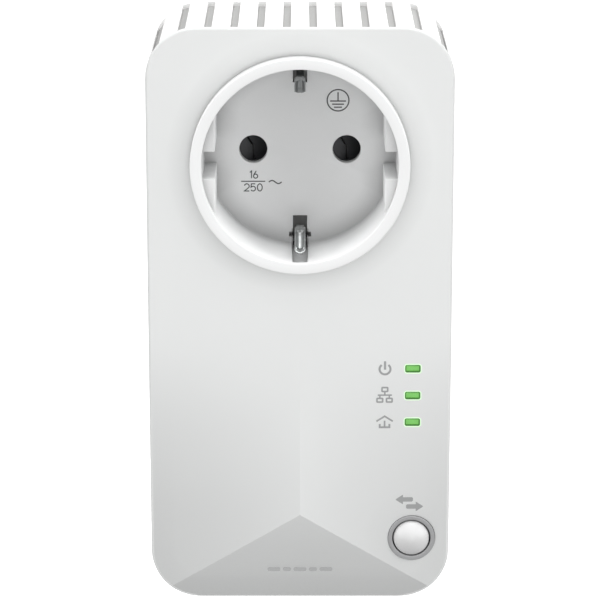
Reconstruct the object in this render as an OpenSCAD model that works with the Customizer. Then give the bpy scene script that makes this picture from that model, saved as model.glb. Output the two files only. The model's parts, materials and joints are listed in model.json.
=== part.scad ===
// Plug-in powerline network adapter with a pass-through CEE 7/3 mains socket.
// Origin: midway between the two plug pins, on the plug's contact face.
// +Y points into the wall, so the front faces -Y. +Z is up. Millimetres.

/* [Casing] */
// Width of the casing
case_w = 61.2; // [60:0.2:66]
// Height of the casing's top above the plug axis
case_top = 27.5; // [27:0.1:29]
// Drop of the casing's bottom below the plug axis
case_drop = 92; // [91.5:0.1:93]
// Depth of the casing from its front plane to its rear face
case_depth = 33; // [32.8:0.1:33.4]
// Depth of the front cover's side wall
cover_depth = 3; // [2.8:0.1:3.2]
// Depth of the front cover's edge along the roof, where the vented housing comes forward
roof_edge = 0.7; // [0.6:0.1:1.2]
// Corner radius of the casing, seen from the front
corner_r = 10.3; // [9.5:0.1:11]
// Wall thickness of the casing
wall = 2.1; // [1.8:0.1:2.2]

/* [Front relief] */
// Height at which the centre crease starts, measured down from the plug axis
crease_start = 34; // [30:1:38]
// Height of the apex where the three facets meet, down from the plug axis
apex_drop = 73.5; // [70:0.5:76]
// How far the side facets fall back at the casing's edge, level with the apex
side_drop = 1.5; // [0.8:0.1:1.6]
// Fall of the lower crease lines for each millimetre sideways
toe_line_slope = 0.606; // [0.56:0.002:0.66]

/* [Vents] */
// Number of vent slots across the top
vent_count = 12; // [8:2:12]
// Distance from one vent slot to the next
vent_pitch = 5.2; // [4.8:0.1:5.2]
// Width of one vent slot
vent_w = 1.5; // [1:0.1:2]

/* [Socket] */
// Distance between the two pin holes, and between the two plug pins
pin_pitch = 19; // [19:0.1:19.2]
// Outer radius of the socket's raised ring
ring_r = 21.85; // [21.7:0.05:22.4]
// Height of the ring above the front plane
ring_rise = 3; // [2:0.1:3.5]
// Radius of the recess that takes a plug
recess_r = 19.6; // [19.4:0.05:19.8]
// Depth of the recess from the ring's rim to its floor
recess_depth = 17.5; // [17.5:0.1:17.6]
// Half distance between the two guide ribs
rib_x = 16.9; // [16.7:0.1:17.1]
// Radius of a pin hole
pin_hole_r = 2.85; // [2.7:0.05:2.95]
// Travel of the safety shutter
shutter_travel = 6.2; // [6:0.1:6.2]

/* [Plug] */
// Depth of the plug body behind the casing
plug_depth = 17.5; // [17.5:0.1:17.6]
// Radius of the plug body
plug_r = 18.4; // [18.2:0.1:18.6]
// Radius of a plug pin
pin_r = 2.4; // [2.35:0.05:2.4]
// Free length of a plug pin
pin_len = 19; // [18.5:0.5:19.5]

/* [Indicators and button] */
// Sideways place of the status windows
led_x = 22.85; // [22:0.05:23]
// Drop of the first status window below the plug axis
led_drop = 42.3; // [41:0.1:43]
// Distance from one status window to the next
led_pitch = 5.7; // [5:0.1:6]
// Width of a status window
led_w = 3.1; // [2.8:0.1:3.4]
// Height of a status window
led_h = 1.6; // [1.4:0.1:1.8]
// Sideways place of the pairing button
button_x = 22.9; // [22:0.1:23]
// Drop of the pairing button below the plug axis
button_drop = 78.8; // [78.5:0.1:79]
// Radius of the button's cap
button_r = 3.65; // [3.4:0.05:3.7]
// Outer radius of the ring around the button
bezel_r = 4.8; // [4.7:0.05:4.9]
// Travel of the button
button_travel = 0.35; // [0.2:0.05:0.4]

/* [Hidden] */
$fn = 64;
fit = 0.05;             // sliding clearance
gap = 0.15;             // clearance between assembled mouldings
over = 1;               // how far a cutter reaches past what it cuts
rear_y = -plug_depth;
front_y = rear_y - case_depth;
part_y = front_y + cover_depth;
roof_y = front_y + roof_edge;
roof_z = case_top - corner_r;
rim_y = front_y - ring_rise;
floor_y = rim_y + recess_depth;
floor_t = 2;
floor_back = floor_y + floor_t;
case_bottom = -case_drop;
back_t = 2;
inside_y = rear_y - back_t;
cover_skin = 2.2;
cover_in = front_y + cover_skin;
toe_in = cover_in + 1.3; // inside of the thicker skin behind the lower facets
toe_in_z = -55;
crease_top = -crease_start;
apex_z = -apex_drop;
lip_t = 1;
lip_end = part_y + 2;
cup_r = 21.4;
pin_x = pin_pitch / 2;
carrier_r = 21.2;
rib_front = rim_y + 2;
notch_half = 2.75;
plug_key_half = 2.3;
earth_pin_z = 10;
sleeve_r = 3.3;
bezel_flange = 0.8;
pocket_depth = 4.4;
carrier_web = 1.2;
carrier_mid = floor_back + pocket_depth;
carrier_back = carrier_mid + carrier_web;
slot_half = 1.45;
slot_in = 13.8;
groove_out = 20.9;
flange_r = 20.4;
plug_end_t = 4;
cavity_r = 15.2;
board_t = 1.6;
main_front = -40.6;
main_back = main_front + board_t;
power_front = -24;
power_back = power_front + board_t;
board_x = 27.6;
board_top = -24;
board_low = -88.4;
jack_half = 8;
jack_top = -70.9;
jack_y = [-46, -32.6];
case_screw_top = [22.5, 18.5];
case_screw_low = [18.5, -86.6];
tube_r = 3.3;
tube_front = -45;
screw_seat = -27;
main_screws = [[24.5, -28], [24.5, -66]];
power_screws = [[24.5, -34], [24.5, -70]];
button_z = -button_drop;
led_zs = [for (i = [0:2]) -led_drop - i * led_pitch];
switch_top = -43.9;
plunger_top = -45;
plunger_root = switch_top + 1.1;
plunger_r = 1.75;
tail_z = -27;           // where the mains strips and tails meet the power board
tail_t = 0.8;

// ---- front relief: how far the surface lies behind the flat front plane ----
function crease_t(z) = max(0, (crease_top - z) / (crease_top - apex_z));
function fade(z) = let (t = crease_t(z)) t * t / (t + 0.25);
function side_relief(x, z) = side_drop * 2 * abs(x) / case_w * fade(z);
function toe_relief(z) =
    side_drop * 2 * max(0, apex_z - z) / (toe_line_slope * case_w) * fade(z);
function front_at(x, z) = front_y + max(side_relief(x, z), toe_relief(z));

// ---- shared shapes ----
// A box between two limits on each axis
module box(xs, ys, zs)
    translate([xs[0], ys[0], zs[0]]) cube([xs[1] - xs[0], ys[1] - ys[0], zs[1] - zs[0]]);

// A cylinder along Y at (x, z)
module rod(at, r, ys) translate([at[0], ys[0], at[1]]) rotate([-90, 0, 0])
    cylinder(r = r, h = ys[1] - ys[0]);

// An outline drawn in X and Z, between two depths
module slab(ys) translate([0, ys[1], 0]) rotate([90, 0, 0])
    linear_extrude(ys[1] - ys[0]) children();

// A profile of [radius, depth] points turned about the socket axis
module turned() rotate([-90, 0, 0]) rotate_extrude($fn = 96) children();

// A profile drawn in Y and Z, between two places along X
module rail(xs) translate([xs[0], 0, 0]) rotate([90, 0, 90])
    linear_extrude(xs[1] - xs[0]) children();

// An outline drawn in X and Y, between two heights
module slab_z(zs) translate([0, 0, zs[0]]) linear_extrude(zs[1] - zs[0]) children();

// The same piece on the left and the right
module both_sides() { children(); mirror([1, 0, 0]) children(); }

// The same piece above and below the socket axis
module both_ends() { children(); mirror([0, 0, 1]) children(); }

// A rectangle with round corners, from arcs of points
module rounded(xs, zs, r, steps = 9)
    polygon([for (q = [0:3], i = [0:steps]) let (
        a = 90 * q + 90 * i / steps,
        cx = (q == 0 || q == 3) ? xs[1] - r : xs[0] + r,
        cz = (q < 2) ? zs[1] - r : zs[0] + r) [cx + r * cos(a), cz + r * sin(a)]]);

// The casing's outline, set in by a distance
module case_outline(inset)
    rounded([inset - case_w / 2, case_w / 2 - inset],
        [case_bottom + inset, case_top - inset], corner_r - inset);

// ---- casing ----
// The solid in front of the two side facets
module side_facet_cutter(steps = 12) {
    xs = [-case_w / 2 - over, 0, case_w / 2 + over];
    lead = 0.02;
    row = len(xs);
    layer = row * (steps + 1);
    function z_at(i) = crease_top + (case_bottom - over - crease_top) * i / steps;
    points = [
        for (i = [0:steps], x = xs) [x, front_y - 2, z_at(i)],
        for (i = [0:steps], x = xs) [x, front_y - lead + side_relief(x, z_at(i)), z_at(i)]];
    function f(i, j) = i * row + j;
    function s(i, j) = layer + i * row + j;
    faces = [
        for (i = [0:steps - 1], j = [0:row - 2]) each [
            [f(i, j), f(i, j + 1), f(i + 1, j + 1), f(i + 1, j)],
            [s(i, j), s(i + 1, j), s(i + 1, j + 1)],
            [s(i, j), s(i + 1, j + 1), s(i, j + 1)]],
        for (i = [0:steps - 1]) each [
            [s(i, 0), f(i, 0), f(i + 1, 0), s(i + 1, 0)],
            [f(i, row - 1), s(i, row - 1), s(i + 1, row - 1), f(i + 1, row - 1)]],
        for (j = [0:row - 2]) each [
            [s(0, j), s(0, j + 1), f(0, j + 1), f(0, j)],
            [f(steps, j), f(steps, j + 1), s(steps, j + 1), s(steps, j)]]];
    polyhedron(points, faces);
}

// The solid in front of the lower facet
module toe_facet_cutter(steps = 6) {
    low = case_bottom - over;
    lead = 0.02;
    rail([-case_w / 2 - over, case_w / 2 + over])
        polygon([[front_y - 2, apex_z + over],
            for (i = [0:steps]) let (z = apex_z + (low - apex_z) * i / steps)
                [front_y - lead + toe_relief(z), z],
            [front_y - 2, low]]);
}

// The part of the casing's wall that lies above the corners' lower ends
module roof_strip(ys, inner) intersection() {
    difference() {
        slab(ys) case_outline(0);
        slab([ys[0] - over, ys[1] + over]) case_outline(inner);
    }
    box([-case_w / 2 - over, case_w / 2 + over], ys, [roof_z, case_top + over]);
}

module front_cover() color("whitesmoke") difference() {
    union() {
        difference() {
            slab([front_y, part_y]) case_outline(0);
            slab([cover_in, part_y + over]) case_outline(wall);
        }
        // thicker skin behind the facets
        intersection() {
            slab([cover_in - over, toe_in]) case_outline(wall + gap);
            box([-case_w, case_w], [cover_in - over, toe_in], [case_bottom, toe_in_z]);
        }
        // lip that locates in the rear housing, left open at the network port
        difference() {
            slab([cover_in - over, lip_end]) case_outline(wall + gap);
            slab([cover_in - 2 * over, lip_end + over]) case_outline(wall + gap + lip_t);
            box([-jack_half - 1, jack_half + 1], [part_y - over, lip_end + over],
                [case_bottom, case_bottom + 6]);
        }
        both_sides() {
            rod(case_screw_top, tube_r, [cover_in - over, tube_front - fit]);
            rod(case_screw_low, tube_r, [cover_in - over, tube_front - fit]);
            for (at = main_screws) rod(at, 2.4, [cover_in - over, main_front]);
        }
    }
    roof_strip([roof_y, part_y + fit], wall + gap);
    rod([0, 0], cup_r + 0.1, [front_y - over, lip_end + over]);
    side_facet_cutter();
    toe_facet_cutter();
    for (z = led_zs) box([led_x - led_w / 2 - fit, led_x + led_w / 2 + fit],
        [front_y - over, toe_in + over], [z - led_h / 2 - fit, z + led_h / 2 + fit]);
    rod([button_x, button_z], bezel_r + fit, [front_y - over, toe_in + over]);
    rod([button_x, button_z], bezel_r + bezel_flange + gap, [toe_in, lip_end + over]);
    both_sides() {
        rod(case_screw_top, 1.25, [cover_in + 0.3, tube_front + over]);
        rod(case_screw_low, 1.25, [cover_in + 0.3, tube_front + over]);
        for (at = main_screws) rod(at, 1.05, [cover_in + 0.3, main_front + over]);
    }
}

// Height of the outline above a place on the top edge
function top_at(x) = let (dx = max(0, abs(x) - case_w / 2 + corner_r))
    case_top - corner_r + sqrt(corner_r * corner_r - dx * dx);

module rear_housing() color("white") difference() {
    union() {
        difference() {
            slab([part_y, rear_y]) case_outline(0);
            slab([part_y - over, inside_y]) case_outline(wall);
        }
        roof_strip([roof_y, part_y + over], wall);
        both_sides() {
            rod(case_screw_top, tube_r, [tube_front, rear_y - 0.5]);
            rod(case_screw_low, tube_r, [tube_front, rear_y - 0.5]);
            for (at = power_screws) rod(at, 2.6, [power_back, inside_y + 0.5]);
        }
    }
    rod([0, 0], plug_r + 0.1, [inside_y - over, rear_y + over]);
    for (i = [0:vent_count - 1]) let (x = (i - (vent_count - 1) / 2) * vent_pitch,
        low = top_at(abs(x) + vent_w / 2) - wall - 0.6)
        box([x - vent_w / 2, x + vent_w / 2], [roof_y - over, inside_y],
            [low, case_top + over]);
    box([-jack_half - gap, jack_half + gap], [jack_y[0] - gap, jack_y[1] + gap],
        [case_bottom - over, case_bottom + wall + over]);
    both_sides() for (at = [case_screw_top, case_screw_low]) {
        rod(at, 1.4, [tube_front - over, rear_y + over]);
        rod(at, 2.8, [screw_seat, rear_y + over]);
    }
    both_sides() for (at = power_screws) rod(at, 1.05, [power_back - over, inside_y + 0.3]);
}

// A strip bent to the roof's shape that keeps fingers out of the vents
module vent_baffle() color("gainsboro") slab([lip_end + 0.2, -22.2]) intersection() {
    difference() {
        case_outline(wall + 0.3);
        case_outline(wall + 1.3);
    }
    translate([-case_w / 2, 18.2]) square([case_w, 20]);
}

// ---- pass-through socket ----
module socket_insert() color("whitesmoke") difference() {
    union() {
        turned() polygon([[0, floor_y], [recess_r, floor_y], [recess_r, rim_y],
            [ring_r - 0.5, rim_y], [ring_r, rim_y + 0.5], [ring_r, front_y],
            [cup_r, front_y], [cup_r, floor_back], [0, floor_back]]);
        both_sides() intersection() {
            rod([0, 0], recess_r + 0.8, [rib_front, floor_y + 1]);
            box([rib_x, ring_r], [rim_y, floor_back], [-ring_r, ring_r]);
        }
    }
    both_sides() {
        rod([pin_x, 0], pin_hole_r, [floor_y - over, floor_back + over]);
        box([rib_x - over, recess_r], [rim_y, floor_y], [-notch_half, notch_half]);
    }
    both_ends() {
        box([-slot_half, slot_half], [floor_y - over, floor_back + over],
            [slot_in, groove_out]);
        box([-slot_half - 0.1, slot_half + 0.1], [rim_y + 1.2, floor_y + 0.5],
            [recess_r - 3, groove_out]);
    }
}

module contact_carrier() color("gainsboro") difference() {
    union() {
        rod([0, 0], carrier_r, [floor_back, carrier_back]);
        both_sides() rod([pin_x, 0], 4.6, [carrier_back - 0.5, carrier_back + 2.4]);
    }
    box([-19.75, 19.8], [floor_back - over, carrier_mid], [-4.4, 4.4]);
    box([-8.3, 7.3], [floor_back - over, carrier_mid], [-9.8, -4]);
    both_sides() {
        rod([pin_x, 0], 3.15, [carrier_mid - over, carrier_back + over]);
        rod([pin_x, 0], 3.2, [carrier_back, carrier_back + 4]);
    }
    both_ends() box([-1.6, 1.6], [floor_back - over, carrier_back + over], [16.6, 20.6]);
}

// The slider covers both pin holes at rest. A plug's pins press on its two ramps
// and drive it to -X until its windows line up with the holes.
module shutter_slider() color("dimgray") difference() {
    union() {
        box([-pin_x - 3.8, pin_x + 10.1], [floor_back + 0.2, carrier_mid - 0.2], [-4.2, 4.2]);
        box([5.5, 7], [floor_back + 0.6, carrier_mid - 0.6], [-9.6, -4]);
    }
    for (x = [-pin_x, pin_x]) slab_z([-2.9, 2.9]) polygon([
        [x - 2.9, floor_back + 0.2], [x - 2.9, floor_back - over],
        [x + shutter_travel + 2.9, floor_back - over],
        [x + shutter_travel + 2.9, carrier_mid + over],
        [x + shutter_travel - 2.9, carrier_mid + over],
        [x + shutter_travel - 2.9, carrier_mid - 1]]);
}

module shutter_spring() color("silver")
    translate([-8.2, floor_back + pocket_depth / 2, -7.6]) rotate([0, 90, 0])
        difference() {
            cylinder(r = 1.6, h = 13.6);
            translate([0, 0, -over]) cylinder(r = 1.1, h = 13.6 + 2 * over);
        }

// One spring sleeve, slit so that it grips a pin, with its tail down to the power board
module socket_contact() color("goldenrod") {
    difference() {
        rod([pin_x, 0], 3.1, [carrier_back + 0.2, -16.4]);
        rod([pin_x, 0], pin_r + 0.05, [carrier_back - over, -16.4 + over]);
        box([pin_x - 0.4, pin_x + 0.4], [carrier_back - over, -21], [0, 4]);
    }
    rail([pin_x - 1.5, pin_x + 1.5]) polygon([[-25.6, -2.75], [-25.6 + tail_t, -2.75],
        [-25.6 + tail_t, tail_z + tail_t], [power_front, tail_z + tail_t],
        [power_front, tail_z], [-25.6, tail_z]]);
}
module socket_contact_right() socket_contact();
module socket_contact_left() mirror([1, 0, 0]) socket_contact();

// A spring finger that flexes about the rolled eye at its root
module earth_clip() {
    line = [[-32.2, 18.6], [-34.2, 17.4], [-36.2, 16], [-39.5, 15.2], [-43.5, 14.5],
        [-46.6, 14.1], [-48.4, 14.7], [-50, 16.4], [-51.6, 18.1]];
    last = len(line) - 1;
    half = 0.3;
    eye_r = 0.65;
    function turn(i) = let (a = line[max(0, i - 1)], b = line[min(last, i + 1)], d = b - a)
        [-d[1], d[0]] / norm(d);
    color("silver") {
        rail([-1.1, 1.1]) polygon([
            for (i = [0:last]) line[i] + half * turn(i),
            for (i = [last:-1:0]) line[i] - half * turn(i)]);
        rail([-1.1, 1.1]) translate(line[0]) circle(eye_r);
    }
}
module earth_clip_top() earth_clip();
module earth_clip_bottom() mirror([0, 0, 1]) earth_clip();

// The strip that joins both fingers behind the carrier
module earth_bridge() color("silver") {
    box([-2, 2], [carrier_back, carrier_back + tail_t], [-20, 20]);
    both_ends() box([-1.4, 1.4], [carrier_back - 4.6, carrier_back + 0.4], [19.4, 20]);
}

// ---- plug ----
module plug_body() color("white") difference() {
    turned() polygon([[0, -plug_end_t], [cavity_r, -plug_end_t], [cavity_r, inside_y - 2],
        [flange_r, inside_y - 2], [flange_r, inside_y], [plug_r, inside_y],
        [plug_r, -0.8], [plug_r - 0.8, 0], [0, 0]]);
    both_sides() {
        both_ends() box([rib_x - 0.2, plug_r + over], [rear_y, over],
            [plug_key_half, plug_r]);
        rod([pin_x, 0], 2.65, [-plug_end_t - over, over]);
    }
    rod([0, earth_pin_z], sleeve_r + fit, [-plug_end_t - over, over]);
    both_ends() {
        box([-2.4, 2.4], [rear_y + 1.2, -1.4], [17.3, plug_r + over]);
        box([-1.6, 1.6], [-6, -4.8], [cavity_r - 2, plug_r + over]);
    }
}

module plug_pin(tip_steps = 6) color("silver") translate([pin_x, 0, 0])
    rotate([-90, 0, 0]) rotate_extrude($fn = 64) polygon([[0, -11.2], [2.6, -11.2],
        [2.6, 0], [pin_r, 0],
        for (i = [0:tip_steps]) let (a = 90 * i / tip_steps)
            [pin_r * cos(a), pin_len - pin_r + pin_r * sin(a)]]);
module plug_pin_right() plug_pin();
module plug_pin_left() mirror([1, 0, 0]) plug_pin();

module plug_earth_contact() color("silver") {
    box([-2.2, 2.2], [rear_y + 1.5, -1.6], [17.35, 18.15]);
    box([-1.5, 1.5], [-5.8, -5], [13.4, 17.6]);
    box([-1.5, 1.5], [carrier_back + 0.8, -5], [13.4, 14.2]);
}
module plug_earth_contact_top() plug_earth_contact();
module plug_earth_contact_bottom() mirror([0, 0, 1]) plug_earth_contact();

// The female contact for a socket's fixed earth pin
module earth_pin_sleeve() color("silver") difference() {
    rod([0, earth_pin_z], sleeve_r, [-14, -0.8]);
    rod([0, earth_pin_z], 2.45, [-14 - over, over]);
}

// A strip from a plug pin's root down to the power board
module busbar() color("peru") {
    root = -12;
    turn_y = -26.8;
    box([4, 12], [root, root + tail_t], [-7, 2.6]);
    box([4, 7], [root, root + tail_t], [-12, -6]);
    rail([4, 7]) polygon([[root + tail_t, -12], [root + tail_t, -12 + tail_t],
        [turn_y, -12 + tail_t], [turn_y, tail_z], [power_front, tail_z],
        [power_front, tail_z + tail_t], [turn_y + tail_t, tail_z + tail_t],
        [turn_y + tail_t, -12]]);
}
module live_busbar() busbar();
module neutral_busbar() mirror([1, 0, 0]) busbar();

// ---- indicators and button ----
module led_window(z) color("limegreen")
    slab([front_at(led_x, z) - 0.1, main_front - 0.9])
        rounded([led_x - led_w / 2, led_x + led_w / 2], [z - led_h / 2, z + led_h / 2],
            0.3, 3);
module led_window_power() led_window(led_zs[0]);
module led_window_network() led_window(led_zs[1]);
module led_window_home() led_window(led_zs[2]);

module status_leds() color("lightyellow") for (z = led_zs)
    box([led_x - 1.5, led_x + 1.5], [main_front - 0.8, main_front], [z - 0.7, z + 0.7]);

bezel_front = front_at(button_x, button_z) - 0.35;
// The ring around the button, held by a flange behind the cover's skin
module button_bezel() color("silver") translate([button_x, 0, button_z]) turned()
    polygon([[button_r + 0.3, toe_in + 0.6], [button_r + 0.3, bezel_front],
        [bezel_r - 0.2, bezel_front], [bezel_r, bezel_front + 0.2], [bezel_r, toe_in],
        [bezel_r + bezel_flange, toe_in], [bezel_r + bezel_flange, toe_in + 0.6]]);

module pair_button(dome_steps = 6) color("white") translate([button_x, 0, button_z]) {
    rise = 0.7;
    dome_r = (button_r * button_r + rise * rise) / (2 * rise);
    half_angle = asin(button_r / dome_r);
    crest = bezel_front - 0.4;
    turned() polygon([[0, plunger_top - fit], [1.5, plunger_top - fit],
        [1.5, toe_in + 1.3], [button_r + 0.75, toe_in + 1.3],
        [button_r + 0.75, toe_in + 0.65], [button_r, toe_in + 0.65],
        for (i = [dome_steps:-1:0]) let (a = half_angle * i / dome_steps)
            [dome_r * sin(a), crest + dome_r * (1 - cos(a))]]);
}

module tact_switch_body() color("dimgray") difference() {
    box([button_x - 3, button_x + 3], [switch_top, main_front], [button_z - 3, button_z + 3]);
    rod([button_x, button_z], plunger_r + fit,
        [switch_top - over, plunger_root + button_travel + 0.25]);
}
module tact_switch_plunger() color("black")
    rod([button_x, button_z], plunger_r, [plunger_top, plunger_root]);

// ---- network board ----
// A board outline with its screw holes and notches for the casing's screw tubes
module board(ys, screws) difference() {
    slab(ys) rounded([-board_x, board_x], [board_low, board_top], 5, 5);
    both_sides() {
        rod(case_screw_low, tube_r + 0.4, [ys[0] - over, ys[1] + over]);
        for (at = screws) rod(at, 1.3, [ys[0] - over, ys[1] + over]);
    }
}

module jack_clearance(ys, margin)
    box([-jack_half - margin, jack_half + margin], [ys[0] - over, ys[1] + over],
        [case_bottom, jack_top + margin]);

module main_board() color("darkgreen") difference() {
    board([main_front, main_back], main_screws);
    jack_clearance([main_front, main_back], 0.3);
}

// A square part on the front of the network board
module chip(at, size, height)
    box([at[0] - size[0] / 2, at[0] + size[0] / 2], [main_front - height, main_front],
        [at[1] - size[1] / 2, at[1] + size[1] / 2]);

chip_at = [-6, -44];
module plc_chip() color("black") chip(chip_at, [14, 14], 1);
module thermal_pad() color("lightblue") translate([0, -1, 0]) chip(chip_at, [13, 13], 0.5);
module heat_sink() color("silver") translate([chip_at[0], main_front - 1.5, chip_at[1]]) {
    box([-11, 11], [-1.5, 0], [-11, 11]);
    for (i = [0:7]) translate([-11 + i * 3, 0, 0]) box([0, 1], [-5.1, -1], [-11, 11]);
}
module memory_chip() color("black") chip([-18, -64], [8, 12], 1);
module crystal() color("silver") chip([14, -60], [8, 3.6], 3);
module network_transformer() color("black") chip([0, -63.5], [12.6, 9], 5.5);

module ethernet_jack() color("silver") difference() {
    box([-jack_half, jack_half], jack_y, [case_bottom + 0.2, jack_top]);
    box([-5.95, 5.95], [-42.3, -34.6], [case_bottom - over, jack_top - 4]);
    box([-3.1, 3.1], [-43.7, -42.2], [case_bottom - over, jack_top - 4]);
    box([-2, 2], [-45, -43.6], [case_bottom - over, jack_top - 4]);
}
module ethernet_contacts() color("gold") for (i = [0:7])
    translate([(i - 3.5) * 1.02, 0, 0]) rail([-0.2, 0.2])
        polygon([[-34.6, -89.2], [-37.6, -79.8], [-34.9, -75.6], [-34.6, -75.9],
            [-37.2, -79.9], [-34.6, -88]]);

module board_header() color("black") {
    box([-22.5, -13.5], [power_front - 2.5, power_front], [-80, -77.4]);
    for (i = [0:3]) box([-21.8 + i * 2.3, -21.2 + i * 2.3], [main_back, power_front - 2],
        [-79, -78.4]);
}

module insulation_sheet() color("lightyellow") difference() {
    board([-37.4, -37.1], main_screws);
    jack_clearance([-38, -36], 0.6);
    box([-23, -13], [-38, -36], [-80.5, -77]);
}

// ---- power board ----
module power_board() color("tan") board([power_front, power_back], power_screws);

// A rectangular part on the front of the power board
module power_part(xs, zs, height) box(xs, [power_front - height, power_front], zs);

module fuse() color("saddlebrown") rod([18, -40], 4.2, [power_front - 8, power_front]);
module varistor() color("royalblue") translate([-21, power_front - 5.4, -40])
    rotate([0, 90, 0]) cylinder(r = 5.4, h = 4);
module x_capacitor() color("gold") power_part([-9, 9], [-41, -31], 12);
module common_mode_choke() color("darkorange") translate([-18.5, 0, -53.5]) turned()
    polygon([[3, power_front - 8], [7, power_front - 8], [7, power_front], [3, power_front]]);
module rectifier_bridge() color("black") power_part([14, 21], [-72, -66], 2.6);
module bulk_capacitor() color("darkslateblue")
    translate([19, power_front - 6.1, -64]) cylinder(r = 6.1, h = 18);
module flyback_transformer() color("gold") {
    power_part([-8, 8], [-62.5, -57.5], 12);
    power_part([-8, 8], [-50.5, -45.5], 12);
    power_part([-6.4, 6.4], [-57.6, -50.4], 10.5);
}
module power_controller() color("black") power_part([-21, -16], [-70, -66], 1.6);
module output_capacitor() color("darkslateblue") rod([0, -78], 4, [power_front - 8, power_front]);
module coupling_transformer() color("darkorange") power_part([10, 20], [-82.6, -73.6], 7);

// ---- fasteners ----
// A pan-head screw along Y whose head bears at a depth and whose tip points to -Y
module screw(at, bearing_y, len, shank_r, head_r, head_t) {
    rod(at, shank_r, [bearing_y - len, bearing_y + head_t / 2]);
    rod(at, head_r, [bearing_y, bearing_y + head_t]);
}

module housing_screws() color("silver") both_sides()
    for (at = [case_screw_top, case_screw_low]) screw(at, screw_seat, 20.5, 1.2, 2.6, 1.8);

module board_screws() color("silver") both_sides() {
    for (at = main_screws) screw(at, main_back, 6, 1, 2, 1.2);
    for (at = power_screws) translate([0, 2 * power_front, 0]) mirror([0, 1, 0])
        screw(at, power_front, 4, 1, 2, 1.2);
}

front_cover();
rear_housing();
vent_baffle();
socket_insert();
contact_carrier();
shutter_slider();
shutter_spring();
socket_contact_left();
socket_contact_right();
earth_clip_top();
earth_clip_bottom();
earth_bridge();
plug_body();
plug_pin_left();
plug_pin_right();
plug_earth_contact_top();
plug_earth_contact_bottom();
earth_pin_sleeve();
live_busbar();
neutral_busbar();
led_window_power();
led_window_network();
led_window_home();
status_leds();
button_bezel();
pair_button();
tact_switch_body();
tact_switch_plunger();
main_board();
plc_chip();
thermal_pad();
heat_sink();
memory_chip();
crystal();
network_transformer();
ethernet_jack();
ethernet_contacts();
board_header();
insulation_sheet();
power_board();
fuse();
varistor();
x_capacitor();
common_mode_choke();
rectifier_bridge();
bulk_capacitor();
flyback_transformer();
power_controller();
output_capacitor();
coupling_transformer();
housing_screws();
board_screws();
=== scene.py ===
"""Looks of a plug-in powerline adapter with a pass-through socket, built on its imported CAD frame.

Shapes are worked out in millimetres, in the CAD's own axes (front faces -Y, +Z up), and become
metres when a mesh is made. Driving sizes come from the frame's boxes or repeat the CAD's values.
"""

import json
import math

import bmesh
import bpy
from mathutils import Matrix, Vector
from mathutils.geometry import delaunay_2d_cdt

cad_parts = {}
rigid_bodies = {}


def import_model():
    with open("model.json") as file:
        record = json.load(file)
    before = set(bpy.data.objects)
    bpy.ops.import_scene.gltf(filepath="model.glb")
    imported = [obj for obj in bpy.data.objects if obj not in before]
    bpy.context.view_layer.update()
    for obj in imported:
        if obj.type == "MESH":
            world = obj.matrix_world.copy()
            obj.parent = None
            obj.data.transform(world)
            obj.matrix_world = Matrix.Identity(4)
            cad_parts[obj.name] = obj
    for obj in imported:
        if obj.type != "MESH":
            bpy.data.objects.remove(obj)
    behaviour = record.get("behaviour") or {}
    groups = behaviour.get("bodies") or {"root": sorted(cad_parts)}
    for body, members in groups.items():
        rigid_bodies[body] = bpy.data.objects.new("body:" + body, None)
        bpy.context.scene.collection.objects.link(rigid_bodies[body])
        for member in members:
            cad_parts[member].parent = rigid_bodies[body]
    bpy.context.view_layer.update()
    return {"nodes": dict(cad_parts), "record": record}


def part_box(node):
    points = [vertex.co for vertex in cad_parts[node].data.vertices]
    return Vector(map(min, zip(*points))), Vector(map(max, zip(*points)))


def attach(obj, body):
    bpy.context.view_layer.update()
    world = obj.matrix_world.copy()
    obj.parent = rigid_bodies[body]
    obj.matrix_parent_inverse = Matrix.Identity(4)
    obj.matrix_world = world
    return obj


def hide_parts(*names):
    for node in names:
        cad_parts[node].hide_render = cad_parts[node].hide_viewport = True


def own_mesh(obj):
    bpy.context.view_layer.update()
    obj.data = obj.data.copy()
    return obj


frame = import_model()

MM = 0.001
scene = bpy.context.scene
SLOT_OF = {row["node"]: row["material_slot"] for row in frame["record"]["subparts"]}


def box_mm(node):
    """A CAD node's two corners in millimetres."""
    low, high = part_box(node)
    return low / MM, high / MM


# ---- driving sizes, mm ----
housing_low, housing_high = box_mm("rear_housing")
insert_low, insert_high = box_mm("socket_insert")
HALF_W = housing_high.x
TOP = housing_high.z
BOTTOM = housing_low.z
FRONT_Y = box_mm("front_cover")[0].y
ROOF_Y = housing_low.y
REAR_Y = housing_high.y
PART_Y = FRONT_Y + 3
RIM_Y = insert_low.y
RING_R = insert_high.x
FLOOR_Y = insert_high.y - 2
CORNER_R = 10.3
WALL = 2.1
INSIDE_Y = REAR_Y - 2
ROOF_Z = TOP - CORNER_R
CREASE_TOP = -34.0
APEX_Z = -73.5
SIDE_DROP = 1.5          # how far the facets come in at the casing's edge
TOE_SLOPE = 0.606
FADE_SOFT = 0.25
EDGE_R = 0.5
FACET_GAIN = 8.5         # how much steeper than they are the facets and the dome are shaded
DOME_GAIN = 2.8
COVER_SKIN = 3.5
HOLE_R = 21.5
RECESS_R = 19.6
RIB_X = 16.9
RIB_FRONT = RIM_Y + 2
NOTCH = 2.75
PIN_X = 9.5
PIN_HOLE_R = 2.85
PLUG_R = 18.4
EARTH_PIN_Z = 10.0
LED_X = sum(c.x for c in box_mm("led_window_power")) / 2
LED_ZS = [sum(c.z for c in box_mm("led_window_" + n)) / 2 for n in ("power", "network", "home")]
LED_W = 3.1
LED_H = 1.6
BUTTON_X = 22.9
BUTTON_Z = -78.8
BUTTON_R = 3.65
BEZEL_R = 4.8
SCREWS = [(22.5, 18.5), (18.5, -86.6)]
SCREW_SEAT = -27.0
TUBE_TIP = -44.9
WELL_R = 2.8
TUBE_R = 3.0
SHANK_R = 1.4
PORT_X = 8.15
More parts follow.
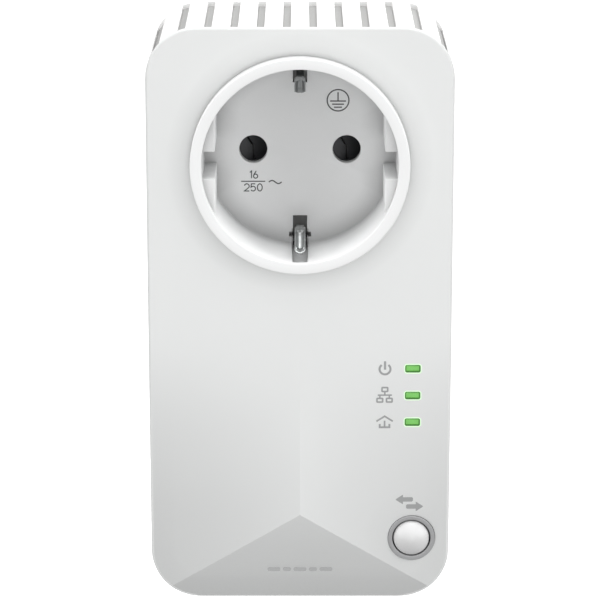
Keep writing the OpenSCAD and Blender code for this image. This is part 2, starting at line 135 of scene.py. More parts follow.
PORT_Y = (-46.15, -32.45)
VENT_PITCH = 5.2
VENT_W = 1.5
VENTS = 12
VENT_DEEP = 0.95


# ---- the front's relief ----
def fade(z):
    """How far the facets have come in at a height: 0 above the crease, about 1 at the apex."""
    t = max(0.0, (CREASE_TOP - z) / (CREASE_TOP - APEX_Z))
    return t * t / (t + FADE_SOFT)


def front_at(x, z):
    """Depth of the front surface: two side facets and a lower one meet at the apex."""
    side = SIDE_DROP * abs(x) / HALF_W * fade(z)
    toe = SIDE_DROP * max(0.0, APEX_Z - z) / (TOE_SLOPE * HALF_W) * fade(z)
    return FRONT_Y + max(side, toe)


# ---- mesh making ----
class Shell:
    """Gathers vertices and faces, ring by ring."""

    def __init__(self):
        self.verts = []
        self.faces = []

    def ring(self, points):
        start = len(self.verts)
        self.verts += [tuple(p) for p in points]
        return list(range(start, len(self.verts)))

    def bridge(self, a, b, closed=True):
        n = len(a)
        for i in range(n if closed else n - 1):
            j = (i + 1) % n
            self.faces.append((a[i], a[j], b[j], b[i]))

    def strip(self, made, closed=True):
        """Bridges rings of vertices, each to the next."""
        for a, b in zip(made, made[1:]):
            self.bridge(a, b, closed)
        return made

    def loft(self, rings, closed=True):
        return self.strip([self.ring(r) for r in rings], closed)

    def cap(self, ring):
        self.faces.append(tuple(ring))

    def sheet(self, outer, holes, inner=(), creases=(), depth=None):
        """Fills an outline with holes; depth(x, z) lifts its points. Returns the loops' vertices."""
        loops = [outer] + list(holes)
        flat = [Vector(p) for loop in loops for p in loop] + [Vector(p) for p in inner]
        edges = []
        base = 0
        for loop in loops:
            edges += [(base + i, base + (i + 1) % len(loop)) for i in range(len(loop))]
            base += len(loop)
        for line in creases:
            edges += [(len(flat) + i, len(flat) + i + 1) for i in range(len(line) - 1)]
            flat += [Vector(p) for p in line]
        made, _, faces, origins, _, _ = delaunay_2d_cdt(flat, edges, [], 0, 1e-5)
        start = len(self.verts)
        self.verts += [(p.x, depth(p.x, p.y), p.y) for p in made]
        for face in faces:
            middle = sum((made[i] for i in face), Vector((0, 0))) / len(face)
            if not any(inside(middle, hole) for hole in holes):
                self.faces.append(tuple(start + i for i in face))
        place = {}
        for new, olds in enumerate(origins):
            for old in olds:
                place[old] = start + new
        found = []
        base = 0
        for loop in loops:
            found.append([place[base + i] for i in range(len(loop))])
            base += len(loop)
        return found


def inside(point, loop):
    """Whether a 2D point lies in a closed loop."""
    hit = False
    for (x1, z1), (x2, z2) in zip(loop, loop[1:] + loop[:1]):
        if (z1 > point.y) != (z2 > point.y):
            if point.x < x1 + (point.y - z1) / (z2 - z1) * (x2 - x1):
                hit = not hit
    return hit


def mesh_object(name, shell, sharp=30.0):
    """An object in metres with outward faces, smooth but for edges sharper than an angle."""
    mesh = bpy.data.meshes.new(name)
    mesh.from_pydata([[c * MM for c in v] for v in shell.verts], [], shell.faces)
    obj = bpy.data.objects.new(name, mesh)
    scene.collection.objects.link(obj)
    bm = bmesh.new()
    bm.from_mesh(mesh)
    bmesh.ops.remove_doubles(bm, verts=bm.verts, dist=1e-7)
    bmesh.ops.dissolve_degenerate(bm, edges=bm.edges, dist=1e-8)
    bmesh.ops.recalc_face_normals(bm, faces=bm.faces)
    bm.to_mesh(mesh)
    bm.free()
    shade(obj, sharp)
    return obj


def shade(obj, sharp=30.0):
    """Smooth shading but for edges sharper than an angle."""
    mesh = obj.data
    mesh.polygons.foreach_set("use_smooth", [True] * len(mesh.polygons))
    mesh.set_sharp_from_angle(angle=math.radians(sharp))
    return obj


def baked(obj):
    """The object with its modifiers applied."""
    graph = bpy.context.evaluated_depsgraph_get()
    mesh = bpy.data.meshes.new_from_object(obj.evaluated_get(graph))
    obj.modifiers.clear()
    obj.data = mesh
    return obj


def combine(obj, others, operation="DIFFERENCE", sharp=30.0):
    """Cuts the others from the object, or adds them to it."""
    for other in others:
        modifier = obj.modifiers.new("cut", "BOOLEAN")
        modifier.operation = operation
        modifier.solver = "EXACT"
        modifier.object = other
        bpy.context.view_layer.update()
        baked(obj)
        bpy.data.objects.remove(other)
    return shade(obj, sharp)


def join(name, objects):
    """Several meshes as one object."""
    bm = bmesh.new()
    for o in objects:
        bm.from_mesh(o.data)
        bpy.data.objects.remove(o)
    mesh = bpy.data.meshes.new(name)
    bm.to_mesh(mesh)
    bm.free()
    obj = bpy.data.objects.new(name, mesh)
    scene.collection.objects.link(obj)
    return obj


def bevelled(obj, width, segments=2, angle=40.0):
    """The object with its edges sharper than an angle rounded."""
    modifier = obj.modifiers.new("round", "BEVEL")
    modifier.width = width * MM
    modifier.segments = segments
    modifier.limit_method = "ANGLE"
    modifier.angle_limit = math.radians(angle)
    modifier.harden_normals = False
    bpy.context.view_layer.update()
    return shade(baked(obj))


def circle(at, r, n=64):
    """A closed ring of n points."""
    return arc(at, r, 0, 360, n)[:-1]


def rounded(xs, zs, r, steps=6):
    """A rectangle with round corners."""
    corners = ((xs[1] - r, zs[1] - r), (xs[0] + r, zs[1] - r),
               (xs[0] + r, zs[0] + r), (xs[1] - r, zs[0] + r))
    return [point for q, corner in enumerate(corners)
            for point in arc(corner, r, 90 * q, 90 * (q + 1), steps)]


def window_loop(z, r, left, right=None, low=None, top=None):
    """A status window's outline at a height, its sides set in by one distance or by one each."""
    right, low, top = (left if inset is None else inset for inset in (right, low, top))
    return rounded((LED_X - LED_W / 2 + left, LED_X + LED_W / 2 - right),
                   (z - LED_H / 2 + low, z + LED_H / 2 - top), r)


def widened(loop, grow):
    """A closed outline with its sides moved out by a distance."""
    xs, zs = zip(*loop)
    cx, cz = (min(xs) + max(xs)) / 2, (min(zs) + max(zs)) / 2
    wide, tall = 1 + grow / (max(xs) - cx), 1 + grow / (max(zs) - cz)
    return [(cx + (x - cx) * wide, cz + (z - cz) * tall) for x, z in loop]


def quarter(n):
    """Sine and one less cosine at n even steps through a quarter turn."""
    turns = [math.pi / 2 * k / n for k in range(1, n + 1)]
    return [(math.sin(a), 1 - math.cos(a)) for a in turns]


def at_depth(loop, depth):
    """An outline in X and Z, placed at a depth."""
    return [(x, depth, z) for x, z in loop]


def solid(name, rings, sharp=30.0):
    """Rings lofted into a body with flat ends."""
    shell = Shell()
    made = shell.loft(rings)
    shell.cap(made[0])
    shell.cap(made[-1])
    return mesh_object(name, shell, sharp)


def hoop(name, rings, sharp=30.0):
    """Rings lofted round and back to the first."""
    shell = Shell()
    made = shell.loft(rings)
    shell.bridge(made[-1], made[0])
    return mesh_object(name, shell, sharp)


def slab(name, rows, sharp=40.0):
    """A strip closed round its edges, from the rows of points of its two faces."""
    shell = Shell()
    top, under = (shell.loft(rows[face], closed=False) for face in (1, -1))
    for k in (0, -1):
        shell.bridge(top[k], under[k], closed=False)
        shell.bridge([r[k] for r in top], [r[k] for r in under], closed=False)
    return mesh_object(name, shell, sharp)


def prism(name, loop, ys):
    """An outline in X and Z, extruded between two depths."""
    return solid(name, [at_depth(loop, y) for y in ys])


def pillar(name, profile, zs):
    """A profile in X and Y, extruded between two heights."""
    return solid(name, [[(x, y, z) for x, y in profile] for z in zs])


def rail(name, profile, xs):
    """A profile in Y and Z, extruded between two places along X."""
    return solid(name, [[(x, y, z) for y, z in profile] for x in xs])


def block(name, xs, ys, zs):
    """A box between two places along each axis."""
    return prism(name, [(xs[0], zs[0]), (xs[1], zs[0]), (xs[1], zs[1]), (xs[0], zs[1])], ys)


def lathe(name, profile, at=(0.0, 0.0), n=128, sharp=30.0, closed=False):
    """A profile of (radius, depth) turned about a Y axis; its ends are on the axis or joined."""
    shell = Shell()
    rings = []
    for r, y in profile:
        if r < 1e-6:
            rings.append(shell.ring([(at[0], y, at[1])]))
        else:
            rings.append(shell.ring(at_depth(circle(at, r, n), y)))
    pairs = list(zip(rings, rings[1:]))
    if closed:
        pairs.append((rings[-1], rings[0]))
    for a, b in pairs:
        if len(a) == 1 or len(b) == 1:
            point, ring = (a[0], b) if len(a) == 1 else (b[0], a)
            for i in range(n):
                shell.faces.append((point, ring[i], ring[(i + 1) % n]))
        else:
            shell.bridge(a, b)
    return mesh_object(name, shell, sharp)


def arc(centre, r, start, end, steps=5):
    """Points along an arc, angles in degrees."""
    return [(centre[0] + r * math.cos(math.radians(start + (end - start) * i / steps)),
             centre[1] + r * math.sin(math.radians(start + (end - start) * i / steps)))
            for i in range(steps + 1)]


# ---- the casing's outline ----
def crease_angle():
    """Where the lower crease line crosses the corner's arc, in degrees from +X."""
    r = CORNER_R - EDGE_R
    cx, cz = HALF_W - CORNER_R, BOTTOM + CORNER_R
    k = (APEX_Z - TOE_SLOPE * cx - cz) / r / math.hypot(1, TOE_SLOPE)
    return math.degrees(math.asin(k) - math.atan(TOE_SLOPE))


def spread(a, b, step):
    """Even places between two ends, about a step apart, without the ends."""
    n = max(1, round(abs(b - a) / step))
    return [a + (b - a) * i / n for i in range(1, n)]


def outline_stations():
    """(centre x, centre z, direction x, direction z) around the outline, anticlockwise."""
    in_x = HALF_W - CORNER_R
    low, high = BOTTOM + CORNER_R, TOP - CORNER_R
    cross = crease_angle() % 360
    step, steps = 2.0, 14
    below = high - 0.05          # a station just under the roof, where the seam steps back
    stations = []

    def corner(cx, cz, start, extra=None):
        """One corner's arc; the extra angle takes the place of the nearest."""
        angles = [start + 90 * i / steps for i in range(steps + 1)]
        if extra is not None:
            angles[min(range(1, steps), key=lambda i: abs(angles[i] - extra))] = extra
        for a in map(math.radians, angles):
            stations.append((cx, cz, math.cos(a), math.sin(a)))

    corner(in_x, high, 0)
    stations.extend((x, high, 0.0, 1.0) for x in spread(in_x, -in_x, step))
    corner(-in_x, high, 90)
    stations.append((-in_x, below, -1.0, 0.0))
    stations.extend((-in_x, z, -1.0, 0.0) for z in spread(below, low, step))
    corner(-in_x, low, 180, 540 - cross)
    stations.extend((x, low, 0.0, -1.0) for x in spread(-in_x, in_x, step))
    corner(in_x, low, 270, cross)
    stations.extend((in_x, z, 1.0, 0.0) for z in spread(low, below, step))
    stations.append((in_x, below, 1.0, 0.0))
    return stations


STATIONS = outline_stations()


def outline(inset):
    """The casing's outline as points, set in by a distance."""
    r = CORNER_R - inset
    return [(cx + dx * r, cz + dz * r) for cx, cz, dx, dz in STATIONS]


def outline_ring(inset, depth):
    """An outline at a depth, where the depth may depend on the station."""
    points = outline(inset)
    return [(x, depth(i) if callable(depth) else depth, z) for i, (x, z) in enumerate(points)]


def seam(i):
    """Depth of the line between cover and housing: the vented roof reaches further forward."""
    _, cz, _, dz = STATIONS[i]
    return ROOF_Y if cz + 1e-6 >= ROOF_Z and dz >= -1e-6 else PART_Y


def facets_grid(step=1.7, margin=0.6):
    """Points inside the front's outline, clear of its edges, holes and creases."""
    zs = [BOTTOM + 1 + step * i for i in range(int((TOP - BOTTOM - 2) / step) + 1)]
    xs = [-HALF_W + 1.1 + step * i for i in range(int((2 * HALF_W - 2) / step) + 1)]
    edge = outline(EDGE_R + margin)

    def clear(x, z):
        return (inside(Vector((x, z)), edge)
                and math.hypot(x, z) > HOLE_R + margin
                and math.hypot(x - BUTTON_X, z - BUTTON_Z) > BEZEL_R + 1.5 * margin
                and not any(abs(x - LED_X) < LED_W / 2 + margin
                            and abs(z - led_z) < LED_H / 2 + margin for led_z in LED_ZS)
                and not (z < CREASE_TOP and abs(x) < 0.5)
                and abs(z - APEX_Z + TOE_SLOPE * abs(x)) > 0.5)

    return [(x, z) for z in zs for x in xs if clear(x, z)]


def crease_lines(n=24):
    """The crease down the middle and the two that fall from its foot to the corners."""
    a, r = math.radians(crease_angle()), CORNER_R - EDGE_R
    x, z = HALF_W - CORNER_R + r * math.cos(a), BOTTOM + CORNER_R + r * math.sin(a)
    ends = [((0.0, CREASE_TOP), (0.0, APEX_Z)), ((0.0, APEX_Z), (x, z)), ((0.0, APEX_Z), (-x, z))]
    return [[(a[0] + (b[0] - a[0]) * i / n, a[1] + (b[1] - a[1]) * i / n) for i in range(n + 1)]
            for a, b in ends]


# ---- materials ----
def nodes_of(name):
    """A new material, its node tree and shader, and the coordinates that its patterns use."""
    material = bpy.data.materials.new(name)
    material.use_nodes = True
    tree = material.node_tree
    return material, tree, tree.nodes["Principled BSDF"], added(tree, "TexCoord").outputs["Object"]


def feed(tree, node, inputs):
    """Sets a node's inputs to constants, or links them to other nodes' outputs."""
    for name, value in inputs.items():
        if isinstance(value, bpy.types.NodeSocket):
            tree.links.new(value, node.inputs[name])
        else:
            node.inputs[name].default_value = value


def added(tree, kind, inputs=None, **settings):
    """A new node with its settings and inputs."""
    node = tree.nodes.new("ShaderNode" + kind)
    for name, value in settings.items():
        setattr(node, name, value)
    feed(tree, node, inputs or {})
    return node


def noise_of(tree, place, scale, detail=3.0, stretch=None):
    """Noise whose grain is about 1/scale metres, stretched along an axis if asked."""
    if stretch:
        place = added(tree, "Mapping", {"Scale": stretch, "Vector": place}).outputs["Vector"]
    inputs = {"Scale": scale, "Detail": detail, "Vector": place}
    return added(tree, "TexNoise", inputs).outputs["Fac"]


def painted_corner_shade(tree, colour, reach, depth):
    """The colour with painted shade, deeper where surfaces meet."""
    corner = added(tree, "AmbientOcclusion", {"Distance": reach * MM}, samples=8)
    painted_shade_tone = blend_colours(tree, corner.outputs["AO"], (depth,) * 3, (1, 1, 1))
    return added(tree, "Mix", {"Factor": 1.0, "A": colour, "B": painted_shade_tone}, data_type="RGBA",
                 blend_type="MULTIPLY").outputs["Result"]


def span(tree, value, low, high, from_low=0.3, from_high=0.7):
    """A value stretched from one range to another."""
    return added(tree, "MapRange", {"Value": value, "From Min": from_low, "From Max": from_high,
                                    "To Min": low, "To Max": high}).outputs["Result"]


def blend_colours(tree, value, a, b):
    """From one colour to another as a value goes from 0 to 1."""
    inputs = {"A": (*a, 1), "B": (*b, 1), "Factor": value}
    return added(tree, "Mix", inputs, data_type="RGBA").outputs["Result"]


def bumped(tree, value, strength, distance):
    """Surface directions that follow a value's relief."""
    inputs = {"Strength": strength, "Distance": distance, "Height": value}
    return added(tree, "Bump", inputs).outputs["Normal"]


def finish(name, colour, rough, metallic=0.0, shift=0.03, cloud=60.0, grain=4500.0, bump=0.15,
           stretch=None, coat=0.0, emission=0.0, glow=None, corners=None):
    """A moulded, drawn or coated surface: cloudy colour, varied gloss and a fine grain; with
    corners, painted shade where surfaces meet.
    """
    material, tree, shader, place = nodes_of(name)
    fine = noise_of(tree, place, grain, 2.0, stretch)
    dark = tuple(c * (1 - shift) for c in colour)
    light = tuple(min(1.0, c * (1 + shift)) for c in colour)
    tint = blend_colours(tree, span(tree, noise_of(tree, place, cloud, 4.0), 0, 1), dark, light)
    # corners paints shade into the colour where surfaces meet
    if corners:
        tint = painted_corner_shade(tree, tint, *corners)
    feed(tree, shader, {
        "Base Color": tint, "Metallic": metallic, "Roughness": span(tree, fine, *rough),
        "Normal": bumped(tree, fine, bump, 0.00004), "IOR": 1.46,
        "Coat Weight": coat, "Coat Roughness": 0.12,
        "Emission Color": (*(glow or colour), 1), "Emission Strength": emission})
    return material


def fibre_board(name, colour, trace):
    """Circuit board: a lacquered weave with copper runs showing through."""
    material, tree, shader, place = nodes_of(name)
    turned = added(tree, "Mapping", {"Rotation": (math.pi / 2, 0, 0), "Vector": place})
    brick = added(tree, "TexBrick", {
        "Scale": 260.0, "Mortar Size": 0.05, "Color1": (*colour, 1),
        "Color2": (*(c * 0.8 for c in colour), 1), "Mortar": (*trace, 1),
        "Vector": turned.outputs["Vector"]})
    weave = noise_of(tree, place, 3000.0)
    feed(tree, shader, {"Base Color": brick.outputs["Color"],
                        "Roughness": span(tree, weave, 0.25, 0.45),
                        "Normal": bumped(tree, weave, 0.2, 0.00003)})
    return material


def wound(name, colour, pitch, axis):
    """Enamelled wire wound side by side."""
    material, tree, shader, place = nodes_of(name)
    inputs = {"Scale": 0.05 / (pitch * MM), "Distortion": 0.4, "Vector": place}
    wave = added(tree, "TexWave", inputs, bands_direction=axis).outputs["Fac"]
    dark = tuple(c * 0.45 for c in colour)
    feed(tree, shader, {"Base Color": blend_colours(tree, wave, dark, colour),
                        "Roughness": span(tree, noise_of(tree, place, 900.0), 0.25, 0.4),
                        "Normal": bumped(tree, wave, 0.6, 0.0001), "Metallic": 0.7})
    return material


PLASTICS = {                 # colour, roughness range, and what differs from finish's defaults
    # corners: painted shade where surfaces meet, as its reach in mm and its darkest tone
    "cover_white": ((0.785, 0.795, 0.79), (0.34, 0.46), dict(shift=0.006, corners=(5.0, 0.45))),
    "housing_white": ((0.86, 0.86, 0.855), (0.36, 0.48), dict(shift=0.01)),
    "inner_white": ((0.36, 0.36, 0.355), (0.5, 0.65), {}),
    "socket_white": ((0.84, 0.845, 0.845), (0.3, 0.42), dict(shift=0.008, corners=(5.0, 0.36))),
    "carrier_grey": ((0.27, 0.27, 0.27), (0.5, 0.65), {}),
    "shutter_grey": ((0.055, 0.056, 0.06), (0.28, 0.42), dict(shift=0.1)),
    "plug_white": ((0.84, 0.84, 0.83), (0.32, 0.45), dict(shift=0.015)),
    "led_green": ((0.13, 0.42, 0.075), (0.18, 0.3), dict(
        shift=0.06, cloud=900.0, coat=0.6, emission=0.2, glow=(0.20, 0.62, 0.11))),
    # painted shade for the light pipe's edge
    "painted_shade_green": ((0.055, 0.20, 0.035), (0.2, 0.35), dict(
        shift=0.1, cloud=900.0, emission=0.08, glow=(0.10, 0.35, 0.06))),
    # painted glow: the light pipe's light on the cover round its hole
    "painted_glow": ((0.70, 0.86, 0.66), (0.3, 0.4), dict(
        shift=0.02, emission=0.25, glow=(0.62, 0.95, 0.55))),
    "led_package": ((0.75, 0.72, 0.45), (0.2, 0.35), dict(shift=0.1)),
    "bezel_grey": ((0.33, 0.333, 0.337), (0.3, 0.42), {}),
    "button_white": ((0.72, 0.72, 0.72), (0.26, 0.36), dict(shift=0.008)),
    "switch_black": ((0.025, 0.025, 0.027), (0.4, 0.6), {}),
    "chip_black": ((0.022, 0.022, 0.024), (0.45, 0.62), dict(shift=0.15, grain=9000.0, bump=0.3)),
    "pad_blue": ((0.35, 0.52, 0.66), (0.6, 0.75), dict(shift=0.06)),
    "sheet_amber": ((0.72, 0.55, 0.22), (0.25, 0.4), dict(shift=0.06)),
    "fuse_brown": ((0.16, 0.07, 0.035), (0.3, 0.45), dict(shift=0.08)),
    "varistor_blue": ((0.03, 0.10, 0.35), (0.2, 0.35), dict(shift=0.1, bump=0.4, grain=1500.0)),
    "capacitor_yellow": ((0.72, 0.52, 0.06), (0.3, 0.5), {}),
    "capacitor_sleeve": ((0.035, 0.05, 0.16), (0.2, 0.35), {}),
    "ink_grey": ((0.33, 0.335, 0.335), (0.5, 0.65), dict(bump=0.08)),
    "ink_pale": ((0.42, 0.425, 0.425), (0.5, 0.65), dict(bump=0.08)),
    "ink_dark": ((0.085, 0.088, 0.088), (0.5, 0.65), dict(shift=0.05, bump=0.08)),
}
METALS = {                   # colour, roughness range, colour shift, stretch of the drawn grain
    "spring_steel": ((0.62, 0.62, 0.61), (0.2, 0.4), 0.05, (0.1, 1, 1)),
    "contact_brass": ((0.80, 0.60, 0.28), (0.2, 0.38), 0.08, (1, 0.08, 1)),
    "clip_steel": ((0.30, 0.31, 0.31), (0.3, 0.46), 0.05, (1, 0.1, 0.1)),
    "pin_nickel": ((0.72, 0.70, 0.66), (0.12, 0.3), 0.05, (0.3, 0.3, 1.0)),
    "busbar_copper": ((0.80, 0.42, 0.26), (0.25, 0.45), 0.1, None),
    "sink_aluminium": ((0.78, 0.79, 0.80), (0.25, 0.45), 0.04, (1, 1, 0.04)),
    "can_steel": ((0.66, 0.66, 0.65), (0.18, 0.32), 0.05, None),
    "jack_steel": ((0.68, 0.68, 0.66), (0.18, 0.34), 0.05, (0.08, 1, 1)),
    "contact_gold": ((0.95, 0.70, 0.28), (0.15, 0.3), 0.05, None),
    "screw_steel": ((0.60, 0.60, 0.58), (0.2, 0.4), 0.06, None),
}
MATERIALS = {
    "board_green": fibre_board("board_green", (0.02, 0.13, 0.05), (0.08, 0.22, 0.08)),
    "board_tan": fibre_board("board_tan", (0.42, 0.27, 0.12), (0.5, 0.35, 0.18)),
    "winding_copper": wound("winding_copper", (0.75, 0.33, 0.14), 0.5, "Z"),
    "tape_yellow": wound("tape_yellow", (0.75, 0.55, 0.10), 1.2, "Z"),
}
for look, (colour, rough, more) in PLASTICS.items():
    MATERIALS[look] = finish(look, colour, rough, **more)
for look, (colour, rough, shift, stretch) in METALS.items():
    MATERIALS[look] = finish(look, colour, rough, 1.0, shift, stretch=stretch)


def dress(obj, slot, body="casing", replaces=(), look=None):
    """Gives a piece its record slot's material and its body, and hides the CAD nodes it stands for.
    """
    obj.data.materials.clear()
    obj.data.materials.append(MATERIALS[look or slot])
    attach(obj, body)
    if replaces:
        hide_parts(*replaces)
    return obj


# ---- front cover ----
def cover_piece():
    """The front shell: relief, rounded edge and inner skin, with a mouth at each small hole."""
    mouth, clear = 0.18, 0.05
    socket = circle((0, 0), HOLE_R, 144)
    seats = [circle((BUTTON_X, BUTTON_Z), BEZEL_R + clear, 72)]
    seats += [window_loop(z, 0.3, -clear) for z in LED_ZS]
    mouths = [widened(seat, mouth) for seat in seats]
    shell = Shell()
    front = shell.sheet(outline(EDGE_R), [socket] + mouths, facets_grid(), crease_lines(), front_at)
    fall = [front_at(x, z) for x, z in outline(EDGE_R)]
    sides = [outline_ring(EDGE_R * (1 - s), lambda i: fall[i] + EDGE_R * c)
             for s, c in quarter(5)]
    for inset, gap, step in ((0, 0.16, 0.01), (0.14, 0.12, 0.05), (WALL, 0.12, 0.05)):
        sides.append(outline_ring(inset, lambda i: max(seam(i) - gap, fall[i] + EDGE_R + step)))
    back = shell.sheet(outline(WALL + 0.15), [socket] + seats,
                       depth=lambda x, z: FRONT_Y + COVER_SKIN)
    shell.strip([front[0]] + [shell.ring(r) for r in sides] + [back[0]])
    shell.bridge(front[1], back[1])
    for outer, inner, seat, wide in zip(front[2:], back[2:], seats, mouths):
        rings = [[(w[0] + (p[0] - w[0]) * s, front_at(*w) + mouth * c, w[1] + (p[1] - w[1]) * s)
                  for w, p in zip(wide, seat)] for s, c in quarter(3)]
        shell.strip([outer] + [shell.ring(r) for r in rings] + [inner])
    cover = mesh_object("cover_shell", shell, 28)
    mark_creases(cover)
    steepen(cover)
    return dress(cover, "cover_white", replaces=["front_cover"])


def facet_normal(centre, p):
    """Shading direction at a point of the facet around a centre, steeper than the facet is."""
    t = max(0.0, (CREASE_TOP - p.z) / (CREASE_TOP - APEX_Z))
    rate = (t * t + 2 * FADE_SOFT * t) / (t + FADE_SOFT) ** 2 / (APEX_Z - CREASE_TOP)
    side = SIDE_DROP / HALF_W
    if centre.z < APEX_Z - TOE_SLOPE * abs(centre.x):
        fx = 0.0
        fz = side / TOE_SLOPE * ((APEX_Z - p.z) * rate - fade(p.z))
    else:
        fx = math.copysign(side, centre.x) * fade(p.z)
        fz = side * abs(p.x) * rate * min(1.0, t)
    return FACET_GAIN * fx, -1, FACET_GAIN * fz


def bend_normals(obj, faces, direction):
    """Custom normals on some faces, from direction(face's centre, corner), both in mm."""
    mesh = obj.data
    normals = [(0.0, 0.0, 0.0)] * len(mesh.loops)
    for poly in faces:
        for loop in poly.loop_indices:
            corner = mesh.vertices[mesh.loops[loop].vertex_index].co / MM
            normals[loop] = Vector(direction(poly.center / MM, corner)).normalized()
    mesh.normals_split_custom_set(normals)


def steepen(obj):
    """Shades the front's shallow facets as they read under hard light."""
    at = [v.co / MM for v in obj.data.vertices]
    front = [abs(p.y - front_at(p.x, p.z)) < 0.004 for p in at]
    faces = [poly for poly in obj.data.polygons if all(front[i] for i in poly.vertices)]
    bend_normals(obj, faces, facet_normal)


def mark_creases(obj):
    """The three crease lines shade as edges though their angle is small."""
    mesh = obj.data
    sharp = mesh.attributes.get("sharp_edge")
    if sharp is None:
        sharp = mesh.attributes.new("sharp_edge", "BOOLEAN", "EDGE")

    def on_crease(v):
        x, y, z = v.co / MM
        down = abs(x) < 0.01 and APEX_Z - 0.01 <= z < CREASE_TOP - 6
        toe = abs(z - APEX_Z + TOE_SLOPE * abs(x)) < 0.02 and z < APEX_Z + 0.01
        return (down or toe) and y <= FRONT_Y + 2.4

    flags = [on_crease(v) for v in mesh.vertices]
    for edge in mesh.edges:
        if all(flags[i] for i in edge.vertices):
            sharp.data[edge.index].value = True


cover_piece()


# ---- rear housing ----
def top_at(x):
    """Height of the roof at a place across the casing."""
    dx = max(0.0, abs(x) - HALF_W + CORNER_R)
    return TOP - CORNER_R + math.sqrt(max(0.0, CORNER_R * CORNER_R - dx * dx))


def vent_edges(i, inset=0.0):
    """A vent's two sides, in X."""
    x = (i - (VENTS - 1) / 2) * VENT_PITCH
    return x - VENT_W / 2 + inset, x + VENT_W / 2 - inset


def vent_cutter(i):
    """A slot through the roof whose long edges are slightly rounded."""
    soft, above, over = 0.22, 0.004, 2
    edges = vent_edges(i)
    low = min(map(top_at, edges)) - WALL - 0.6
    halves = []
    for side, edge in zip((-1, 1), edges):
        top, end = top_at(edge), edge + side * soft
        fall = top_at(end) - top
        half = [(edge, low), (edge, top - soft)]
        half += [(edge + side * soft * c, top - soft * (1 - s) + fall * c)
                 for s, c in quarter(4)[:-1]]
        halves.append(half + [(end, top_at(end) + above), (end, TOP + over)])
    return prism("vent_cutter", halves[1] + halves[0][::-1], (ROOF_Y - 1, INSIDE_Y))


def baffle_piece():
    """The roof's inner strip, with a ridge that stands up into each vent."""
    low, high = box_mm("vent_baffle")
    band = [[(x, z) for x, z in outline(inset) if z > low.z] for inset in (2.4, 3.4)]
    parts = [prism("band", band[0] + band[1][::-1], (low.y, high.y))]
    for i in range(VENTS):
        left, right = vent_edges(i, 0.02)
        tops = [top_at(x) - VENT_DEEP for x in (left, right)]
        foot = min(tops) - WALL
        loop = [(left, foot), (right, foot), (right, tops[1]), (left, tops[0])]
        parts.append(prism("ridge", loop, (ROOF_Y + 0.1, INSIDE_Y - 0.05)))
    baffle = shade(join("vent_liner", parts))
    return dress(baffle, "inner_white", replaces=["vent_baffle"])


def housing_piece():
    """The rear shell: rolled back edge, plug hole, screw wells, vents and port opening."""
    soft, back_r, lip, sides = 0.1, 1.6, 0.25, 32
    hole_r = PLUG_R + 0.1
    wells = [(s * x, z) for x, z in SCREWS for s in (1, -1)]
    shell = Shell()
    rings = [outline_ring(soft * inset, lambda i: seam(i) + soft * drop)
             for inset, drop in ((1, 0), (0.3, 0.3), (0, 1))]
    rings.append(outline_ring(0, REAR_Y - back_r))
    rings += [outline_ring(back_r * c, REAR_Y - back_r * (1 - s)) for s, c in quarter(6)]
    made = shell.loft(rings)

    def holes(plug_r, well_r):
        return [circle((0, 0), plug_r, 96)] + [circle(at, well_r, sides) for at in wells]

    outside = shell.sheet(outline(back_r), holes(hole_r + lip, WELL_R + lip),
                          depth=lambda x, z: REAR_Y)
    lining = shell.sheet(outline(WALL), holes(hole_r, TUBE_R), depth=lambda x, z: INSIDE_Y)
    shell.bridge(made[-1], outside[0])
    shell.strip([made[0], shell.ring(outline_ring(WALL, seam)), lining[0]])
    edge = shell.ring(at_depth(circle((0, 0), hole_r, 96), REAR_Y - lip))
    shell.strip([outside[1], edge, lining[1]])
    steps = [(WELL_R, REAR_Y - lip), (WELL_R, SCREW_SEAT), (SHANK_R, SCREW_SEAT),
             (SHANK_R, TUBE_TIP), (TUBE_R, TUBE_TIP)]
    for at, mouth, root in zip(wells, outside[2:], lining[2:]):
        tube = [shell.ring(at_depth(circle(at, r, sides), y)) for r, y in steps]
        shell.strip([mouth] + tube + [root])
    housing = mesh_object("housing_shell", shell)
    cutters = join("slots", [vent_cutter(i) for i in range(VENTS)])
    port = block("port", (-PORT_X, PORT_X), PORT_Y, (BOTTOM - 3, BOTTOM + WALL + 1))
    combine(housing, [cutters, bevelled(port, 0.4)], sharp=35)
    return dress(housing, "housing_white", replaces=["rear_housing"])


housing_piece()
baffle_piece()


# ---- pass-through socket ----
def pin_hole_cutter(side):
    """A pin hole with a softened mouth."""
    soft = 0.22
    wide = PIN_HOLE_R + soft
    profile = [(0, FLOOR_Y - 2), (wide, FLOOR_Y - 2), (wide, FLOOR_Y)]
    profile += arc((wide, FLOOR_Y + soft), soft, 270, 180, 4)[1:]
    profile += [(PIN_HOLE_R, FLOOR_Y + 4), (0, FLOOR_Y + 4)]
    return lathe("pin_cutter", profile, (side * PIN_X, 0), 64)


def rib_piece(sx, sz):
    """One of the four guide ribs that stand in the recess beside the side notches."""
    reach = RECESS_R + 0.5
    start = math.degrees(math.asin(NOTCH / reach))
    end = math.degrees(math.acos(RIB_X / reach))
    loop = [(RIB_X, NOTCH)] + arc((0, 0), reach, start, end, 12)
    rib = prism("rib", [(sx * x, sz * z) for x, z in loop], (RIB_FRONT, FLOOR_Y + 0.5))
    return bevelled(rib, 0.18, 2, 60)


def earth_slot(sz):
    """Cutters for an earth slot: through the floor, up the wall, and a wing at each side."""
    ends, through = (13.8, 20.9), (FLOOR_Y - 1, FLOOR_Y + 3)
    slot = block("slot", (-1.45, 1.45), through, sorted(sz * z for z in ends))
    top, foot = RIM_Y + 1.2, FLOOR_Y + 0.4
    taper = [(-1.5, top), (1.5, top), (1.72, foot), (-1.72, foot)]
    groove = pillar("groove", taper, (sz * (RECESS_R - 3), sz * ends[1]))
    wings = [block("wing", sorted((sx * 1.3, sx * 2.25)), through, sorted((sz * 17.3, sz * 18.3)))
             for sx in (1, -1)]
    return [slot, groove] + wings


